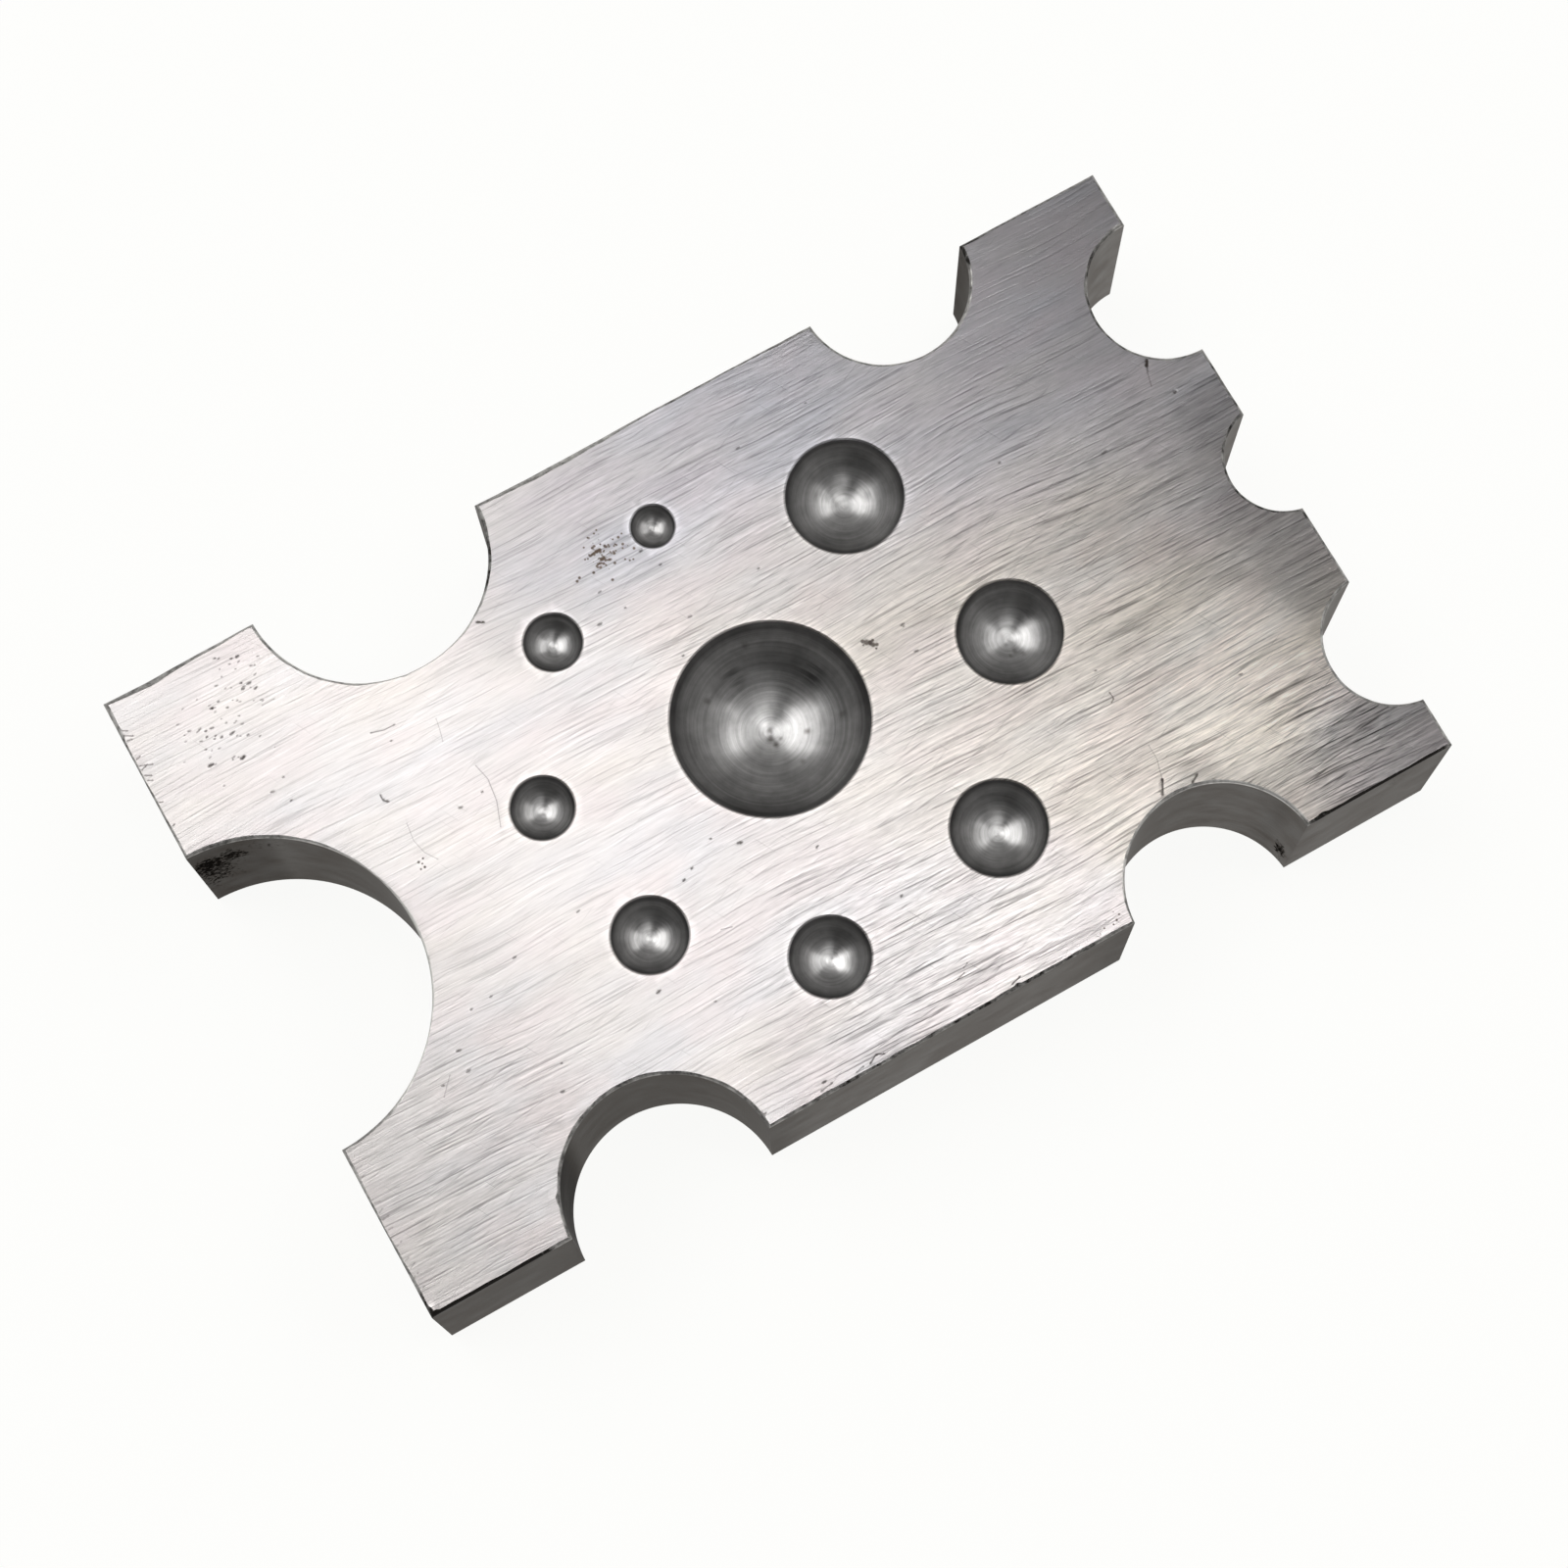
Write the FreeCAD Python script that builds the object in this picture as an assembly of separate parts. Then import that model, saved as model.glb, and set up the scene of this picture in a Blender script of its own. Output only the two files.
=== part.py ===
import FreeCAD, Part
import math
import os

# A dapping block: one flat steel plate that sheet metal is hammered into.
# Its face has a large round cup in the middle and a ring of smaller graded ones,
# and its four sides have graded round notches that go right through the plate.
# X runs along the plate, Y across it and Z up. The origin is under the plate's middle.

# The plate
LENGTH = 93.5
WIDTH = 57.0
THICKNESS = 16.0
EDGE_BREAK = 0.25

# The cups: shallow round bowls, each as deep as this share of its mouth's radius,
# with a narrow bevel round the mouth
CUP_DEPTH_RATIO = 0.52
RIM_BEVEL_WIDTH = 0.1
RIM_BEVEL_DEPTH = 0.1
CENTRE_CUP_X = -0.1
CENTRE_CUP_Y = 0.55
CENTRE_CUP_DIAMETER = 16.5
RING_RADIUS = 20.0

# The ring's cups: angle round the middle of the face, mouth diameter,
# and how far outside the ring the centre was struck
RING_CUPS = [
    (44.1, 9.95, 0.2),
    (-7.5, 8.9, 0.65),
    (-55.2, 8.1, 0.05),
    (-106.4, 6.75, -0.25),
    (-149.2, 6.4, 0.1),
    (171.0, 5.35, 0.0),
    (129.7, 4.95, -0.6),
    (91.5, 3.75, -0.4),
]

# The notches: the side that each one cuts, where its centre is measured from along that side,
# that distance, its diameter, and how far outside the side its centre lies
NOTCHES = [
    ("back", "left", 24.05, 20.6, 0.2),
    ("back", "right", 20.15, 14.4, 0.25),
    ("front", "left", 21.35, 17.7, 0.2),
    ("front", "right", 21.7, 16.2, 0.65),
    ("left", "middle", 0.1, 27.0, 0.0),
    ("right", "back", 11.55, 12.7, 0.0),
    ("right", "middle", -0.7, 9.5, 0.85),
    ("right", "front", 10.1, 11.5, 0.7),
]

# Each datum's coordinate, and the way into the plate from it
DATUMS = {
    "left": (-LENGTH / 2, 1),
    "right": (LENGTH / 2, -1),
    "front": (-WIDTH / 2, 1),
    "back": (WIDTH / 2, -1),
    "middle": (0.0, 1),
}

# How far a cutter reaches past the faces, and how thin an edge counts as level
OVERRUN = 1.0
LEVEL = 1e-6

UP = FreeCAD.Vector(0, 0, 1)


def point(x, y, z=0.0):
    return FreeCAD.Vector(x, y, z)


def from_datum(name, distance):
    """The coordinate that lies this far into the plate from a datum."""
    start, inward = DATUMS[name]
    return start + inward * distance


def notch_cutter(side, datum, distance, diameter, outside):
    """An upright cylinder whose centre stands at, or just outside, the side that it cuts."""
    along = from_datum(datum, distance)
    across = from_datum(side, -outside)
    if side in ("left", "right"):
        foot = point(across, along, -OVERRUN)
    else:
        foot = point(along, across, -OVERRUN)
    return Part.makeCylinder(diameter / 2, THICKNESS + 2 * OVERRUN, foot)


def cup_cutter(centre, diameter):
    """A turned cutter: a ball nose that leaves the bowl, below a cone that bevels its mouth."""
    mouth_radius = diameter / 2
    depth = mouth_radius * CUP_DEPTH_RATIO
    ball_radius = (mouth_radius ** 2 + depth ** 2) / (2 * depth)
    ball_height = THICKNESS - depth + ball_radius
    bevel_height = THICKNESS - RIM_BEVEL_DEPTH
    bevel_angle = math.acos((ball_height - bevel_height) / ball_radius)

    def on_ball(angle):
        return point(ball_radius * math.sin(angle), 0, ball_height - ball_radius * math.cos(angle))

    nose = Part.Arc(on_ball(0), on_ball(bevel_angle / 2), on_ball(bevel_angle)).toShape()
    lip = point(mouth_radius + RIM_BEVEL_WIDTH, 0, THICKNESS)
    above = point(0, 0, OVERRUN)
    top = point(0, 0, THICKNESS) + above
    shank = Part.makePolygon([on_ball(bevel_angle), lip, lip + above, top, on_ball(0)])
    profile = Part.Face(Part.Wire([nose] + shank.Edges))
    cutter = profile.revolve(point(0, 0), UP, 360)
    cutter.translate(centre)
    return cutter


def ring_centre(angle, outside):
    """A point on the ring of cups, or a little off it."""
    return FreeCAD.Rotation(UP, angle).multVec(point(RING_RADIUS + outside, 0))


def notched_plate():
    """The plate with its notches, and the sharp edge broken all round both outlines."""
    plate = Part.makeBox(LENGTH, WIDTH, THICKNESS, point(-LENGTH / 2, -WIDTH / 2))
    plate = plate.cut([notch_cutter(*notch) for notch in NOTCHES])
    outlines = [edge for edge in plate.Edges if edge.BoundBox.ZLength < LEVEL]
    return plate.makeChamfer(EDGE_BREAK, outlines)


def dapping_block():
    cups = [cup_cutter(point(CENTRE_CUP_X, CENTRE_CUP_Y), CENTRE_CUP_DIAMETER)]
    for angle, diameter, outside in RING_CUPS:
        cups.append(cup_cutter(ring_centre(angle, outside), diameter))
    return notched_plate().cut(cups)


def main():
    os.makedirs("parts", exist_ok=True)
    block = dapping_block().Solids[0]
    block.exportStep("parts/dapping_block.step")
    print("valid", block.isValid(), "faces", len(block.Faces), "volume", round(block.Volume, 1))


main()
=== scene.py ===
import math
import random

import bpy
import numpy as np
from mathutils import Matrix, Vector
from mathutils.geometry import delaunay_2d_cdt
from mathutils.kdtree import KDTree


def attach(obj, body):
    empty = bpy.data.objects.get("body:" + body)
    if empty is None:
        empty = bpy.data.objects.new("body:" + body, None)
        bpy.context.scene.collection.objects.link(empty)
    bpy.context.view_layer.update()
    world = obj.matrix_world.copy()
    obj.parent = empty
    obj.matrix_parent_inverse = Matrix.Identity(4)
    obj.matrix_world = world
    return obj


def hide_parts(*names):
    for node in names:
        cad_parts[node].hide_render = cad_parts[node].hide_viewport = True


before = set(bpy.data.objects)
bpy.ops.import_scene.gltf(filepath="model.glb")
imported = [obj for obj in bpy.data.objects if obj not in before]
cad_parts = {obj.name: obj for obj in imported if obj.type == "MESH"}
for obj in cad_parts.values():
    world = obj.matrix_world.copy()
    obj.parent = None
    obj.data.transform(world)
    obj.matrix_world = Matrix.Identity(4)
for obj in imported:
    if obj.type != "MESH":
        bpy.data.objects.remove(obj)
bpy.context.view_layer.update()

# A dapping block of ground steel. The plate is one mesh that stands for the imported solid,
# with the same sizes, and adds the marks that years of use have left on it.
# Lengths are in millimetres until the mesh is made.

MM = 0.001
LENGTH = 93.5
WIDTH = 57.0
THICKNESS = 16.0
HALF = (LENGTH / 2, WIDTH / 2)
EDGE_BREAK = 0.25

# The sides, anticlockwise seen from above: the axis that runs along each one,
# the sign of its level on the other axis, and the way that the outline runs
SIDES = {
    "front": (0, -1, 1),
    "right": (1, 1, 1),
    "back": (0, 1, -1),
    "left": (1, -1, -1),
}

# The notches, in the outline's order: side, centre, radius
NOTCHES = [
    ("front", (-25.4, -28.7), 8.85),
    ("front", (25.05, -29.15), 8.1),
    ("right", (47.45, -18.4), 5.75),
    ("right", (47.6, -0.7), 4.75),
    ("right", (46.75, 16.95), 6.35),
    ("back", (26.6, 28.75), 7.2),
    ("back", (-22.7, 28.7), 10.3),
    ("left", (-46.75, 0.1), 13.5),
]

# The cups: the centre one, and the ring's with their angle round the middle of the face,
# mouth diameter, and how far outside the ring they were struck
CENTRE_CUP = (-0.1, 0.55, 16.5)
RING_RADIUS = 20.0
RING_CUPS = [
    (44.1, 9.95, 0.2),
    (-7.5, 8.9, 0.65),
    (-55.2, 8.1, 0.05),
    (-106.4, 6.75, -0.25),
    (-149.2, 6.4, 0.1),
    (171.0, 5.35, 0.0),
    (129.7, 4.95, -0.6),
    (91.5, 3.75, -0.4),
]
CUP_DEPTH_RATIO = 0.52
RIM_BEVEL = 0.1
# Painted shade in a cup's colour: how light the steel is painted near the rim, against the middle,
# in a tiny cup and in a large one, the radius that counts as large, and where the painted shade
# starts and how far it takes
RIM_PAINTED_SHADES = (0.35, 0.85)
LARGE_CUP = 5.0
RIM_SHADE = (0.6, 0.3)
# and how much lighter the painted highlight makes it at the pole
POLE_PAINTED_HIGHLIGHT = 0.8
POLE_REACH = 0.25
# Painted shade: how much darker the ring just inside the rim is painted, where it starts and how
# far it takes
RIM_RING = 0.5
RIM_RING_PLACE = (0.88, 0.07)
# A painted highlight: how light the face is painted beside a cup's bevel
LIP_PAINTED_HIGHLIGHT = 1.2

# How fine the mesh is
OUTLINE_STEP = 0.32
FACE_STEP = 0.75
UNDERSIDE_STEP = 2.5
CUP_STEP = 0.24
CUP_STEP_ROUND = 0.3
WALL_ROWS = [0.06, 0.14, 0.25, 0.4, 0.6, 0.8]
FINEST = 0.045
GRID_SHARE = 0.4
JITTER = 0.2
TOUCHING = 1e-7
SHARP = math.radians(18)
LAY_SCALE = 0.01
# The least room between the face's edges and a mark's point, and one of the grid's
MARK_GAP = 0.06
GRID_GAP = 0.2
UNDERSIDE_GAP = 1.0
# Rings of points round a spot and round a line's ends: share of its half-width, count and lean
SPOT_RINGS = ((0.6, 6, 0.0), (1.05, 9, 0.3), (1.5, 11, 0.1))
END_RINGS = ((1.05, 7, 0.2), (1.8, 8, 0.5))
# The rows of points along a line
LINE_STEP = 0.16
LINE_ROWS = (-1.05, 1.05, 0.0, -2.0, 2.0)
# How steep a mark's sides look
MARK_SHARPNESS = 2.5

# How a cup's mesh is made: the fewest points round and down, its turning rings' height
# and waves, the pip at its pole, and what keeps one cup's noise apart from the next one's
FEWEST_AROUND = 56
FEWEST_DOWN = 14
RIPPLE = 0.0022
RIPPLE_WAVES = (0.7, 1.3, 2.9)
RIPPLE_SEED = 60
PIP_DEPTH = 0.02
PIP_REACH = 0.35
NOISE_APART = 7.0

# The widest edge break, and its section: shares of its width in from the side
# and down from the face
WIDEST_BREAK = 0.9
BREAK_SECTION = [(0.0, 1.0), (0.15, 0.6), (0.6, 0.15), (1.0, 0.0)]
NARROWEST_BREAK = 0.1
EDGE_LAY = 0.1
# How uneven its width is, and in waves of what length
BREAK_UNEVEN = 0.22
BREAK_WAVES = (3.1, 7.3, 17.0)
BREAK_SEED = 5

# The parts of the surface, each with a finish of its own, in the finishes' order
FACE, CUP, WALL, EDGE, UNDERSIDE = range(5)

rng = random.Random(41)


def cup_places():
    x, y, diameter = CENTRE_CUP
    places = [(x, y, diameter / 2)]
    for angle, diameter, outside in RING_CUPS:
        reach = RING_RADIUS + outside
        turn = math.radians(angle)
        places.append((reach * math.cos(turn), reach * math.sin(turn), diameter / 2))
    return places


CUPS = cup_places()

# The marks of use on the face: each one is a line or a spot, with half its width,
# its depth, and how dark and how rusty it is
MARKS = []

# Each kind of pit: half its width, its depth and its darkness
DEEP_PIT = (0.16, 0.02, 0.95)
PIT = (0.12, 0.015, 0.75)
SHALLOW_PIT = (0.12, 0.012, 0.7)
FINE_PIT = (0.08, 0.008, 0.6)
RUSTY_PIT = (0.17, 0.012, 0.55)

# Where the pits are, on the left prong and here and there on the face
DEEP_PITS = [(-39.2, 23.71), (-41.45, 19.51), (-38.86, 18.79), (-7.3, -7.24), (42.77, 8.4)]
PITS = [
    (-38.05, 23.15), (-36.22, 23.92), (-40.82, 22.64), (-40.16, 21.32), (-38.68, 21.05),
    (-41.19, 20.87), (-36.13, 24.44), (-35.57, 24.12), (-35.28, 23.48), (-37.06, 27.35),
    (-36.78, 27.19), (-35.88, 26.68), (-35.38, 26.59), (-40.48, 22.26), (-39.95, 22.24),
    (-40.64, 21.78), (-39.98, 21.5), (-39.6, 21.19), (-37.65, 20.28), (-38.11, 15.08),
    (-37.13, 13.68), (-36.78, 15.73), (-27.77, 14.1), (15.7, 22.72), (8.9, 22.05),
    (5.29, 12.13), (-29.36, -17.94), (24.87, -8.96), (34.93, -15.05), (35.03, 6.8),
    (-32.52, -8.57), (-28.35, -15.91), (1.84, -17.42), (27.05, 10.26), (-15.32, -17.58),
]
SHALLOW_PITS = [
    (-2.05, -10.59), (-9.2, -5.79), (-11.68, -7.17), (-12.7, -7.71), (-3.69, 8.69),
    (-1.59, 11.32), (13.16, 1.98), (13.03, -0.33), (-1.54, 16.39), (-2.37, 18.22),
    (-7.0, 16.8), (-5.83, 14.59), (-8.32, 14.38), (-25.48, 6.42), (-23.35, 6.71),
    (-30.68, -8.43), (-35.07, -12.82), (-34.97, -10.99), (-18.87, -14.66), (-21.32, -5.77),
    (-27.54, -6.56), (13.17, 2.17), (-16.34, -27.32), (-10.97, -27.45), (-37.38, -12.87),
]

# Clusters of fine pits on the left prong: middle, spread and count
PIT_CLUSTERS = [
    ((-39.2, 21.6), (2.0, 1.6), 40),
    ((-36.8, 25.6), (1.2, 0.8), 14),
]

# Rust beside the smallest cup: its pits, and its specks' middle, spread and count, their sizes,
# depth, least and greatest darkness, and rustiness
RUSTY_PITS = [(-5.45, 19.97), (-5.83, 18.93), (-6.03, 19.91), (-5.42, 19.18), (-4.97, 18.83)]
RUST_SPECKS = ((-5.0, 19.5), (1.15, 0.85), 70)
SPECK_SIZES = (0.06, 0.08, 0.1, 0.15)
SPECK_DEPTH = 0.006
SPECK_DARKNESS = (0.1, 0.5)
SPECK_RUST = 0.85

# Stains right of the centre cup and near the left notch: place and reach. Then their depth,
# least and greatest darkness, and rustiness
STAINS = [
    (9.62, 2.52, 0.2), (9.85, 2.3, 0.3), (10.1, 2.12, 0.24), (10.38, 2.2, 0.16),
    (10.22, 1.85, 0.24), (10.5, 1.72, 0.2), (10.3, 1.45, 0.12), (9.5, 2.2, 0.1),
    (-30.55, 4.1, 0.14), (-30.35, 3.85, 0.1), (-30.3, 3.5, 0.13), (-30.66, 3.5, 0.1),
    (-30.1, 4.2, 0.08),
]
STAIN_DEPTH = 0.01
STAIN_DARKNESS = (0.5, 0.85)
STAIN_RUST = 0.4

# Scratches and scores: points, half the width, depth, darkness, rustiness
SCRATCHES = [
    ([(-28.92, 15.51), (-27.83, 15.18), (-26.84, 15.18)], 0.08, 0.012, 0.6),
    ([(-23.7, 13.97), (-23.89, 12.94), (-24.14, 11.95)], 0.05, 0.006, 0.35),
    ([(-30.63, 10.56), (-30.65, 10.01), (-30.28, 9.7)], 0.1, 0.015, 0.7),
    ([(-22.79, 8.92), (-22.43, 7.41), (-22.7, 5.4), (-23.43, 3.39)], 0.05, 0.005, 0.4),
    ([(-29.88, 7.42), (-30.08, 5.86), (-29.78, 4.57), (-29.08, 3.53)], 0.05, 0.005, 0.4),
    ([(-35.54, 21.92), (-34.38, 21.92)], 0.06, 0.006, 0.45),
    ([(-37.76, -13.73), (-36.5, -12.37)], 0.06, 0.006, 0.4),
    ([(-12.1, -12.7), (-11.2, -12.95)], 0.06, 0.006, 0.5),
    ([(19.55, 22.91), (21.8, 23.91)], 0.05, 0.005, 0.35),
    ([(24.91, -11.07), (24.96, -11.76), (24.59, -11.93)], 0.06, 0.008, 0.55, 0.4),
    ([(25.41, -16.45), (25.4, -17.85), (24.9, -19.45)], 0.05, 0.005, 0.4),
    ([(24.9, -19.45), (24.26, -20.6)], 0.15, 0.01, 0.9),
    ([(27.58, -20.5), (26.85, -20.9)], 0.13, 0.008, 0.85),
]

# Nicks in the left end: level, length, and how far they drift across. Then where they start,
# half their width, their depth, and how dark they are towards the back and towards the front
EDGE_NICKS = [
    (25.7, 0.5, -0.3), (25.2, 0.7, -0.4), (24.7, 0.5, -0.1), (22.9, 0.4, 0.1), (22.3, 1.0, -0.4),
    (21.9, 0.6, 0.2), (21.4, 0.5, -0.3), (20.9, 0.4, -0.2), (18.8, 0.3, -0.1), (16.5, 0.3, 0.1),
    (-16.2, 0.3, 0.1), (-18.4, 0.5, -0.1), (-19.3, 0.4, 0.2), (-19.9, 0.6, 0.1), (-20.8, 0.4, 0.0),
    (-22.3, 0.5, 0.2), (-23.6, 0.4, 0.1), (-24.4, 0.6, 0.3), (-25.1, 0.5, 0.2), (-26.3, 0.4, 0.2),
]
NICK_START = -HALF[0] + 0.27
NICK_HALF_WIDTH = 0.08
NICK_DEPTH = 0.004
NICK_DARKNESS = (0.7, 0.4)

# Marks at the edges, in the scratches' form: at the back left notch, at the right rear one,
# and along the front
EDGE_MARKS = [
    ([(-17.0, 19.5), (-16.46, 19.19)], 0.14, 0.006, 0.9),
    ([(42.2, 12.05), (41.9, 11.55)], 0.2, 0.004, 1.0),
    ([(41.9, 11.55), (41.74, 11.1)], 0.12, 0.004, 0.7),
    ([(41.68, 11.01), (41.34, 9.81)], 0.08, 0.003, 0.4, 0.3),
    ([(-7.1, -28.0), (-6.3, -27.55), (-5.7, -27.85)], 0.1, 0.005, 0.8),
    ([(-8.4, -28.05), (-7.6, -27.9)], 0.08, 0.004, 0.6),
    ([(-11.6, -28.0), (-10.4, -27.8)], 0.08, 0.004, 0.6),
    ([(5.9, -28.0), (6.8, -27.75)], 0.1, 0.005, 0.75),
    ([(2.3, -25.55), (3.1, -25.3)], 0.07, 0.004, 0.6),
    ([(3.2, -24.95), (3.7, -24.75)], 0.07, 0.004, 0.6),
]

# Rusty spots at the front edge's right end: place and reach. Then their depth,
# darkness and rustiness
FRONT_RUST = [
    (15.8, -27.6, 0.12), (15.4, -27.8, 0.1), (16.2, -27.3, 0.09), (14.6, -27.7, 0.09),
    (15.0, -27.2, 0.07), (14.1, -27.9, 0.07), (15.9, -26.9, 0.07),
]
FRONT_RUST_LOOK = (0.004, 0.4, 0.7)


def mark(points, half_width, depth, dark=0.0, rust=0.0):
    MARKS.append((np.array(points, float), half_width, depth, dark, rust))


def spots(places, half_width, depth, dark, rust=0.0):
    """Pits, each drawn out a little along the grinding."""
    for x, y in places:
        size = half_width * rng.uniform(0.7, 1.2)
        drawn = size * rng.uniform(0.2, 1.6)
        slant = drawn * rng.uniform(-0.3, 0.3)
        mark([(x - drawn, y - slant), (x + drawn, y + slant)], size, depth,
             dark * rng.uniform(0.75, 1.0), rust)


def scattered(middle, spread):
    """A random place near a middle."""
    return rng.gauss(middle[0], spread[0]), rng.gauss(middle[1], spread[1])


def add_marks():
    spots(DEEP_PITS, *DEEP_PIT)
    for middle, spread, count in PIT_CLUSTERS:
        spots([scattered(middle, spread) for _ in range(count)], *FINE_PIT)
    spots(PITS, *PIT)
    spots(SHALLOW_PITS, *SHALLOW_PIT)
    spots(RUSTY_PITS, *RUSTY_PIT, rust=1.0)
    middle, spread, count = RUST_SPECKS
    for _ in range(count):
        mark([scattered(middle, spread)], rng.choice(SPECK_SIZES), SPECK_DEPTH,
             rng.uniform(*SPECK_DARKNESS), SPECK_RUST)
    for x, y, size in STAINS:
        mark([(x, y)], size, STAIN_DEPTH, rng.uniform(*STAIN_DARKNESS), STAIN_RUST)
    for scratch in SCRATCHES:
        mark(*scratch)
    for y, length, slant in EDGE_NICKS:
        mark([(NICK_START, y), (NICK_START + length, y + slant)], NICK_HALF_WIDTH, NICK_DEPTH,
             NICK_DARKNESS[0] if y > 0 else NICK_DARKNESS[1])
    for line in EDGE_MARKS:
        mark(*line)
    for x, y, size in FRONT_RUST:
        mark([(x, y)], size, *FRONT_RUST_LOOK)


# Where the edge break is wider than elsewhere: a point of the outline, reach, extra width
WIDE_BREAKS = [
    ((-43, 28.5), 5.5, 0.4), ((-37, 28.5), 4, 0.15), ((-6, 28.5), 10, 0.35),
    ((40, -28.5), 5.5, -0.07), ((-23, 18.3), 7.5, -0.15), ((-34, 4), 10, -0.14),
    ((-36, -8), 8, -0.12), ((-31, 20), 3, -0.12), ((-46.7, 20), 7, -0.08),
    ((-46.7, -20), 7, -0.08), ((20, -22.5), 6, -0.1), ((34.4, -28.5), 0.7, 0.12),
    ((-46.7, -28.5), 0.8, 0.2), ((-24.1, 18.4), 0.7, 0.12), ((-33.6, -25.4), 0.6, 0.15),
    ((6.4, -28.5), 0.4, 0.15), ((-13.2, 26), 3, -0.06),
]

# How dark the edges are, from grime and from painted shade where they reflect dark surroundings: a
# point of the outline, reach, darkness. Between the points of this table and of the warmths and
# painted light below, the nearest ones are blended.
EDGE_DARKNESS = [
    ((40, -28.5), 7, 1.35), ((-42, -28.5), 6.5, 1.35), ((0, -28.5), 16, 0.75),
    ((-43, 28.5), 5, 0.6), ((-35, 28.5), 3, 0.3), ((-5, 28.5), 10, 0.42), ((12, 28.5), 7, 0.6),
    ((40, 28.5), 7, 0.6), ((46.7, 0), 12, 0.75), ((-46.7, 21), 8, 0.45),
    ((-46.7, -21), 8, 0.35), ((-13.5, 25), 4, 0.9), ((-23, 18.3), 7, 0), ((-32, 22), 4, 0.15),
    ((31, -24), 5, 0), ((20, -22.5), 5, 0.2), ((-25.4, -20), 9, 0.6), ((-34, 4), 9, -0.1),
    ((-36, -8), 8, -0.05), ((26, 21.5), 6, 0.45), ((41, 19.5), 6, 0.8), ((34, 28), 2, 1),
]

# Chatter that the turning tool left in the cups: cup, place from its middle, reach, strength
CHATTER = [
    (0, (-0.7, 5.2), 1.5, 1), (0, (5.1, 2.1), 1.5, 1), (0, (-1.6, 4.2), 1, 0.5),
    (1, (-1.3, 1.6), 1, 0.8), (1, (2.1, -0.2), 0.9, 0.7), (2, (2.4, 1.2), 1, 0.7),
]

# Stains in the cups: cup, place from its middle, reach, darkness
CUP_STAINS = [
    (0, (-0.35, -0.5), 0.55, 0.85), (0, (-0.2, -1.15), 0.45, 0.85),
    (0, (-0.05, 0.15), 0.4, 0.75), (0, (0.4, -0.9), 0.3, 0.6), (0, (1.4, 6.8), 0.4, 0.45),
    (0, (-3.5, 4.45), 0.45, 0.6), (0, (5.6, -2), 0.4, 0.5), (0, (0.95, -3.6), 0.4, 0.5),
    (0, (2.55, -1.5), 0.4, 0.8), (2, (-0.1, -1.1), 0.3, 0.6), (2, (0.4, -1.7), 0.28, 0.5),
    (2, (-0.6, -1.3), 0.25, 0.5),
]

# Dark patches on the walls: a point, reach, darkness
WALL_STAINS = [
    ((-45.5, 13.5, 11), 4, 1.15), ((-43.5, 13.2, 12), 2.8, 0.95),
    ((-45.5, 13.4, 5.5), 3.4, 0.7), ((33, -27.4, 3.35), 1.2, 1), ((-33.6, -25.5, 1), 3, 0.7),
    ((-32, 2, 15.5), 9, 0.15), ((21, 27, 14.5), 3.5, 0.55), ((33, 27, 14.5), 3, 0.4),
    ((-41, 11.5, 13.5), 3, 0.5), ((41.5, -28.5, 13), 3, 0.3), ((18, -25.5, 13.5), 3, 0.35),
]

# How warm the face's colour is, from bluish at 0 to straw at 1: a point, reach, warmth
FACE_WARMTHS = [
    ((32, -14), 20, 1), ((22, -4), 20, 0.85), ((8, 4), 20, 0.7), ((10, 27), 22, 0.05),
    ((26, 17), 18, 0.1), ((-8, 28), 13, 0.25), ((40, 22), 20, 0.1), ((46, 1), 16, 0.3),
    ((44, -26), 11, 0.35), ((-35, 0), 40, 0.5), ((-5, -24), 26, 0.45),
]

# Painted light and shade on the walls: how much lighter or darker their colour is painted where
# they reflect more or less light: a point of the outline, reach, tone
WALL_PAINTED_LIGHT = [
    ((0, -28.5), 16, 1.35), ((40, -28.5), 8, 1.38), ((-42, -28.5), 7, 1.05),
    ((-25.4, -20), 8, 0.95), ((-33, -24.5), 4.4, 0.2), ((25, -21), 9, 1.2), ((-34, 4), 9, 0.95),
    ((-45.5, 13.5), 6, 0.7), ((19.6, 26), 6, 0.75), ((33.5, 26), 5, 0.75), ((45, 23), 8, 1.6),
    ((46, -13), 5, 1.7), ((46, 4), 5, 1.7),
]

# Painted light and shade on the face: how much lighter or darker its colour is painted where its
# shine is brighter or dimmer: a point, reach, tone
FACE_PAINTED_LIGHT = [
    ((-34, 12), 16, 1.08), ((-18, 2), 14, 1.04), ((-8, 12), 7, 1.1), ((14, -24), 9, 1.12),
    ((-9, 20), 10, 0.84), ((-8, -26), 9, 0.9), ((10, -12), 14, 1.07), ((14, 26), 10, 0.85),
    ((28, -10), 10, 1.1), ((22, -16), 7, 1.17), ((2, 26), 7, 0.87), ((34, -15), 8.5, 1.5),
    ((40, -19), 4, 1.35), ((46, 0), 9, 0.7), ((45, -9), 5, 0.75), ((36, 2), 8, 0.98),
    ((42, 23), 12, 0.85), ((28, 20), 12, 0.88), ((44, -25.5), 7, 0.8), ((-40, -22), 14, 0.94),
]

# How coarse the grinding is: where it starts to grow towards the right, over what length and
# up to what, where it is finer again, and patches where it is coarser
COARSE_START = -18.0
COARSE_LENGTH = 50.0
COARSE_MOST = 0.42
FINER_PATCH = ((40.0, 24.0), 26.0)
FINER_SHARE = 0.85
COARSE_PATCHES = [
    ((-38, -22), 22, 0.3),
    ((40, -23), 14, 1),
    ((2, -25), 22, 0.5),
]

# How much a table's plain value counts beside its rows, and two of those values
PLAIN_WEIGHT = 0.05
PLAIN_DARKNESS = 0.5
PLAIN_WARMTH = 0.5


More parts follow.
